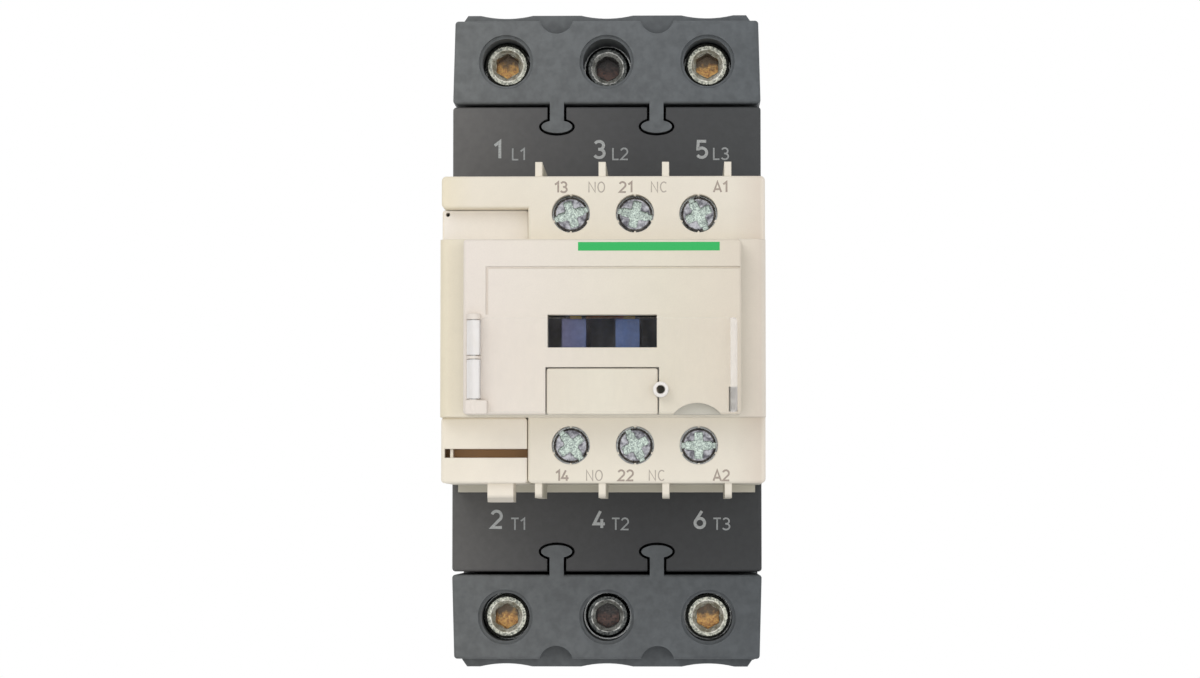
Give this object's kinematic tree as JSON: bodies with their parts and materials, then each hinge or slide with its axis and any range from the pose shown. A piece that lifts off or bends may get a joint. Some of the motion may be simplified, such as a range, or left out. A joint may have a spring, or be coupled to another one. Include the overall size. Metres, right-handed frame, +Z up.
{
  "type": "rail-mounted contactor",
  "caption": "Contactor for a 35 mm rail: moving magnet and contacts, screw terminals above and below, pale front housing with a clear hinged cover.",
  "frame": {"origin": "centre line of the 35 mm rail, in the rear mounting plane, at mid width", "axes": "+X to the right seen from the front, +Y back into the mounting plate, +Z up"},
  "size_m": [0.055, 0.12, 0.122],
  "materials": {
    "dark_plastic": "charcoal glass-filled polyamide, fine spark texture",
    "block_plastic": "bluish dark grey polyamide, matte",
    "pale_plastic": "warm cream polycarbonate, satin",
    "clear_plastic": "clear polycarbonate",
    "carrier_plastic": "blue polyamide, satin",
    "bobbin_plastic": "natural nylon",
    "clip_plastic": "black acetal",
    "rubber": "soft black rubber",
    "core_steel": "stacked core sheets, ground faces",
    "zinc_steel": "zinc plated steel",
    "screw_steel": "greyish hardened steel",
    "control_screw_zinc": "zinc with a faint green passivation",
    "spring_steel": "drawn spring wire",
    "copper": "bare copper, lightly tarnished",
    "brass": "rolled brass",
    "silver": "silver contact alloy",
    "winding": "enamelled copper wire in neat turns"
  },
  "bodies": {
    "root": {"arc_plates": "zinc_steel", "coil_bobbin": "bobbin_plastic", "coil_leads": "copper", "coil_winding": "winding", "control_housing": "pale_plastic", "control_strips": "brass", "core_cushion": "rubber", "cover_hinge_pin": "zinc_steel", "din_clip_spring": "spring_steel", "fixed_contacts": "copper", "fixed_core": "core_steel", "fixed_tips": "silver", "front_hood": "pale_plastic", "label_plate": "pale_plastic", "lower_terminal_block": "block_plastic", "main_body": "dark_plastic", "power_cages": "zinc_steel", "rear_base": "dark_plastic", "return_springs": "spring_steel", "shading_rings": "copper", "side_blank_lower": "pale_plastic", "side_blank_upper": "pale_plastic", "upper_terminal_block": "block_plastic"},
    "rail_clip": {"din_clip": "clip_plastic"},
    "carrier": {"contact_carrier": "carrier_plastic", "armature": "core_steel", "armature_rivets": "zinc_steel", "contact_springs": "spring_steel", "aux_springs": "spring_steel"},
    "cover": {"clear_cover": "clear_plastic"},
    "aux_closing": {"aux_bridge_closing": "brass"},
    "aux_opening": {"aux_bridge_opening": "brass"},
    "pole_bridge_1": {"pole_bridge_1": "copper"},
    "pole_bridge_2": {"pole_bridge_2": "copper"},
    "pole_bridge_3": {"pole_bridge_3": "copper"},
    "power_clamp_line_1": {"power_clamp_line_1": "zinc_steel"},
    "power_screw_line_1": {"power_screw_line_1": "screw_steel"},
    "power_clamp_line_2": {"power_clamp_line_2": "zinc_steel"},
    "power_screw_line_2": {"power_screw_line_2": "screw_steel"},
    "power_clamp_line_3": {"power_clamp_line_3": "zinc_steel"},
    "power_screw_line_3": {"power_screw_line_3": "screw_steel"},
    "power_clamp_load_1": {"power_clamp_load_1": "zinc_steel"},
    "power_screw_load_1": {"power_screw_load_1": "screw_steel"},
    "power_clamp_load_2": {"power_clamp_load_2": "zinc_steel"},
    "power_screw_load_2": {"power_screw_load_2": "screw_steel"},
    "power_clamp_load_3": {"power_clamp_load_3": "zinc_steel"},
    "power_screw_load_3": {"power_screw_load_3": "screw_steel"},
    "control_washer_upper_1": {"control_washer_upper_1": "zinc_steel"},
    "control_screw_upper_1": {"control_screw_upper_1": "control_screw_zinc"},
    "control_washer_upper_2": {"control_washer_upper_2": "zinc_steel"},
    "control_screw_upper_2": {"control_screw_upper_2": "control_screw_zinc"},
    "control_washer_upper_3": {"control_washer_upper_3": "zinc_steel"},
    "control_screw_upper_3": {"control_screw_upper_3": "control_screw_zinc"},
    "control_washer_lower_1": {"control_washer_lower_1": "zinc_steel"},
    "control_screw_lower_1": {"control_screw_lower_1": "control_screw_zinc"},
    "control_washer_lower_2": {"control_washer_lower_2": "zinc_steel"},
    "control_screw_lower_2": {"control_screw_lower_2": "control_screw_zinc"},
    "control_washer_lower_3": {"control_washer_lower_3": "zinc_steel"},
    "control_screw_lower_3": {"control_screw_lower_3": "control_screw_zinc"}
  },
  "joints": [
    {"name": "carrier_stroke", "type": "slide", "parent": "root", "child": "carrier", "axis": [0, 1, 0], "range_m": [0, 0.006], "stiffness_N_per_m": 1500, "springref_m": -0.005, "deforming": ["return_springs"]},
    {"name": "pole_bridge_1_overtravel", "type": "slide", "parent": "carrier", "child": "pole_bridge_1", "axis": [0, 1, 0], "range_m": [-0.002, 0], "deforming": ["contact_springs"]},
    {"name": "pole_bridge_2_overtravel", "type": "slide", "parent": "carrier", "child": "pole_bridge_2", "axis": [0, 1, 0], "range_m": [-0.002, 0]},
    {"name": "pole_bridge_3_overtravel", "type": "slide", "parent": "carrier", "child": "pole_bridge_3", "axis": [0, 1, 0], "range_m": [-0.002, 0]},
    {"name": "aux_closing_overtravel", "type": "slide", "parent": "carrier", "child": "aux_closing", "axis": [0, 1, 0], "range_m": [-0.0016, 0], "deforming": ["aux_springs"]},
    {"name": "aux_opening_overtravel", "type": "slide", "parent": "carrier", "child": "aux_opening", "axis": [0, 1, 0], "range_m": [-0.0014, 0]},
    {"name": "cover_hinge", "type": "hinge", "parent": "root", "child": "cover", "pos_m": [-0.0215, -0.11885, 0], "axis": [0, 0, -1], "range_deg": [0, 120]},
    {"name": "rail_clip_slide", "type": "slide", "parent": "root", "child": "rail_clip", "axis": [0, 0, -1], "range_m": [0, 0.004], "stiffness_N_per_m": 2000, "springref_m": -0.003, "deforming": ["din_clip_spring"]},
    {"name": "power_clamp_line_1_travel", "type": "slide", "parent": "root", "child": "power_clamp_line_1", "axis": [0, 1, 0], "range_m": [0, 0.0065]},
    {"name": "power_screw_line_1_turn", "type": "hinge", "parent": "power_clamp_line_1", "child": "power_screw_line_1", "pos_m": [-0.018, -0.0752, 0.0495], "axis": [0, 1, 0], "range_deg": [0, 1872]},
    {"name": "power_clamp_line_2_travel", "type": "slide", "parent": "root", "child": "power_clamp_line_2", "axis": [0, 1, 0], "range_m": [-0.004, 0.0025]},
    {"name": "power_screw_line_2_turn", "type": "hinge", "parent": "power_clamp_line_2", "child": "power_screw_line_2", "pos_m": [0, -0.0712, 0.0495], "axis": [0, 1, 0], "range_deg": [-1152, 720]},
    {"name": "power_clamp_line_3_travel", "type": "slide", "parent": "root", "child": "power_clamp_line_3", "axis": [0, 1, 0], "range_m": [0, 0.0065]},
    {"name": "power_screw_line_3_turn", "type": "hinge", "parent": "power_clamp_line_3", "child": "power_screw_line_3", "pos_m": [0.018, -0.0752, 0.0495], "axis": [0, 1, 0], "range_deg": [0, 1872]},
    {"name": "power_clamp_load_1_travel", "type": "slide", "parent": "root", "child": "power_clamp_load_1", "axis": [0, 1, 0], "range_m": [0, 0.0065]},
    {"name": "power_screw_load_1_turn", "type": "hinge", "parent": "power_clamp_load_1", "child": "power_screw_load_1", "pos_m": [-0.018, -0.0752, -0.0495], "axis": [0, 1, 0], "range_deg": [0, 1872]},
    {"name": "power_clamp_load_2_travel", "type": "slide", "parent": "root", "child": "power_clamp_load_2", "axis": [0, 1, 0], "range_m": [-0.004, 0.0025]},
    {"name": "power_screw_load_2_turn", "type": "hinge", "parent": "power_clamp_load_2", "child": "power_screw_load_2", "pos_m": [0, -0.0712, -0.0495], "axis": [0, 1, 0], "range_deg": [-1152, 720]},
    {"name": "power_clamp_load_3_travel", "type": "slide", "parent": "root", "child": "power_clamp_load_3", "axis": [0, 1, 0], "range_m": [0, 0.0065]},
    {"name": "power_screw_load_3_turn", "type": "hinge", "parent": "power_clamp_load_3", "child": "power_screw_load_3", "pos_m": [0.018, -0.0752, -0.0495], "axis": [0, 1, 0], "range_deg": [0, 1872]},
    {"name": "control_washer_upper_1_travel", "type": "slide", "parent": "root", "child": "control_washer_upper_1", "axis": [0, 1, 0], "range_m": [0, 0.0034]},
    {"name": "control_screw_upper_1_turn", "type": "hinge", "parent": "control_washer_upper_1", "child": "control_screw_upper_1", "pos_m": [-0.0055, -0.1083, 0.0197], "axis": [0, 1, 0], "range_deg": [0, 2040]},
    {"name": "control_washer_upper_2_travel", "type": "slide", "parent": "root", "child": "control_washer_upper_2", "axis": [0, 1, 0], "range_m": [0, 0.0034]},
    {"name": "control_screw_upper_2_turn", "type": "hinge", "parent": "control_washer_upper_2", "child": "control_screw_upper_2", "pos_m": [0.0054, -0.1083, 0.0197], "axis": [0, 1, 0], "range_deg": [0, 2040]},
    {"name": "control_washer_upper_3_travel", "type": "slide", "parent": "root", "child": "control_washer_upper_3", "axis": [0, 1, 0], "range_m": [0, 0.0034]},
    {"name": "control_screw_upper_3_turn", "type": "hinge", "parent": "control_washer_upper_3", "child": "control_screw_upper_3", "pos_m": [0.0162, -0.1083, 0.0197], "axis": [0, 1, 0], "range_deg": [0, 2040]},
    {"name": "control_washer_lower_1_travel", "type": "slide", "parent": "root", "child": "control_washer_lower_1", "axis": [0, 1, 0], "range_m": [0, 0.0034]},
    {"name": "control_screw_lower_1_turn", "type": "hinge", "parent": "control_washer_lower_1", "child": "control_screw_lower_1", "pos_m": [-0.0055, -0.1083, -0.0197], "axis": [0, 1, 0], "range_deg": [0, 2040]},
    {"name": "control_washer_lower_2_travel", "type": "slide", "parent": "root", "child": "control_washer_lower_2", "axis": [0, 1, 0], "range_m": [0, 0.0034]},
    {"name": "control_screw_lower_2_turn", "type": "hinge", "parent": "control_washer_lower_2", "child": "control_screw_lower_2", "pos_m": [0.0054, -0.1083, -0.0197], "axis": [0, 1, 0], "range_deg": [0, 2040]},
    {"name": "control_washer_lower_3_travel", "type": "slide", "parent": "root", "child": "control_washer_lower_3", "axis": [0, 1, 0], "range_m": [0, 0.0034]},
    {"name": "control_screw_lower_3_turn", "type": "hinge", "parent": "control_washer_lower_3", "child": "control_screw_lower_3", "pos_m": [0.0162, -0.1083, -0.0197], "axis": [0, 1, 0], "range_deg": [0, 2040]}
  ],
  "couplings": [
    {"joint": "pole_bridge_1_overtravel", "follows": "carrier_stroke", "ratio": -0.33333},
    {"joint": "pole_bridge_2_overtravel", "follows": "carrier_stroke", "ratio": -0.33333},
    {"joint": "pole_bridge_3_overtravel", "follows": "carrier_stroke", "ratio": -0.33333},
    {"joint": "aux_closing_overtravel", "follows": "carrier_stroke", "ratio": -0.26667},
    {"joint": "aux_opening_overtravel", "follows": "carrier_stroke", "ratio": -0.23333},
    {"joint": "power_screw_line_1_turn", "follows": "power_clamp_line_1_travel", "rad_per_m": 5026.5},
    {"joint": "power_screw_line_2_turn", "follows": "power_clamp_line_2_travel", "rad_per_m": 5026.5},
    {"joint": "power_screw_line_3_turn", "follows": "power_clamp_line_3_travel", "rad_per_m": 5026.5},
    {"joint": "power_screw_load_1_turn", "follows": "power_clamp_load_1_travel", "rad_per_m": 5026.5},
    {"joint": "power_screw_load_2_turn", "follows": "power_clamp_load_2_travel", "rad_per_m": 5026.5},
    {"joint": "power_screw_load_3_turn", "follows": "power_clamp_load_3_travel", "rad_per_m": 5026.5},
    {"joint": "control_screw_upper_1_turn", "follows": "control_washer_upper_1_travel", "rad_per_m": 10472},
    {"joint": "control_screw_upper_2_turn", "follows": "control_washer_upper_2_travel", "rad_per_m": 10472},
    {"joint": "control_screw_upper_3_turn", "follows": "control_washer_upper_3_travel", "rad_per_m": 10472},
    {"joint": "control_screw_lower_1_turn", "follows": "control_washer_lower_1_travel", "rad_per_m": 10472},
    {"joint": "control_screw_lower_2_turn", "follows": "control_washer_lower_2_travel", "rad_per_m": 10472},
    {"joint": "control_screw_lower_3_turn", "follows": "control_washer_lower_3_travel", "rad_per_m": 10472}
  ]
}
